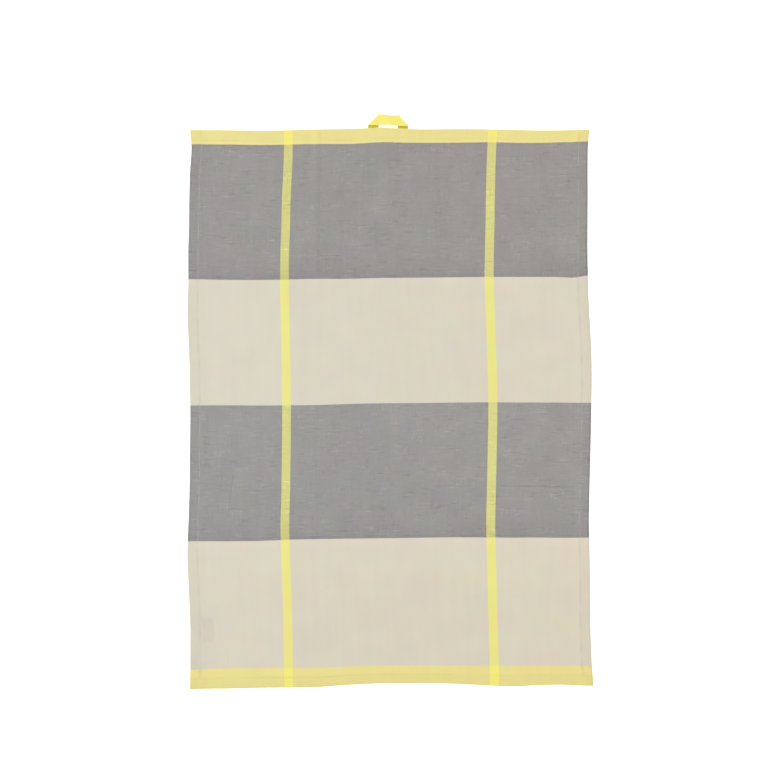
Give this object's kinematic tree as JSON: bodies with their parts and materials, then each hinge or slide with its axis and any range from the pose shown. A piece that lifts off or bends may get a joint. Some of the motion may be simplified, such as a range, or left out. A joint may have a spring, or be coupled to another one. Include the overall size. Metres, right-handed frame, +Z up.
{
  "type": "tea towel",
  "caption": "Flat woven cotton tea towel with grey and beige bands, narrow yellow stripes and ends, turned and stitched hems, and a folded tape hanging loop.",
  "frame": {"origin": "middle of the towel's outline, loop included, on the surface it lies on", "axes": "+Y along the warp towards the hanging loop, +X across to the right as seen face up, +Z up off the surface"},
  "size_m": [0.5067, 0.7188, 0.0036],
  "materials": {
    "woven_cotton": "matt plain-weave cotton, grey and beige bands with yellow stripes and ends",
    "loop_tape": "matt woven cotton tape",
    "label_satin": "plain satin label tape with a faint sheen"
  },
  "bodies": {
    "root": {"towel_cloth": "woven_cotton", "hanging_loop": "loop_tape", "blank_label": "label_satin"}
  },
  "joints": []
}
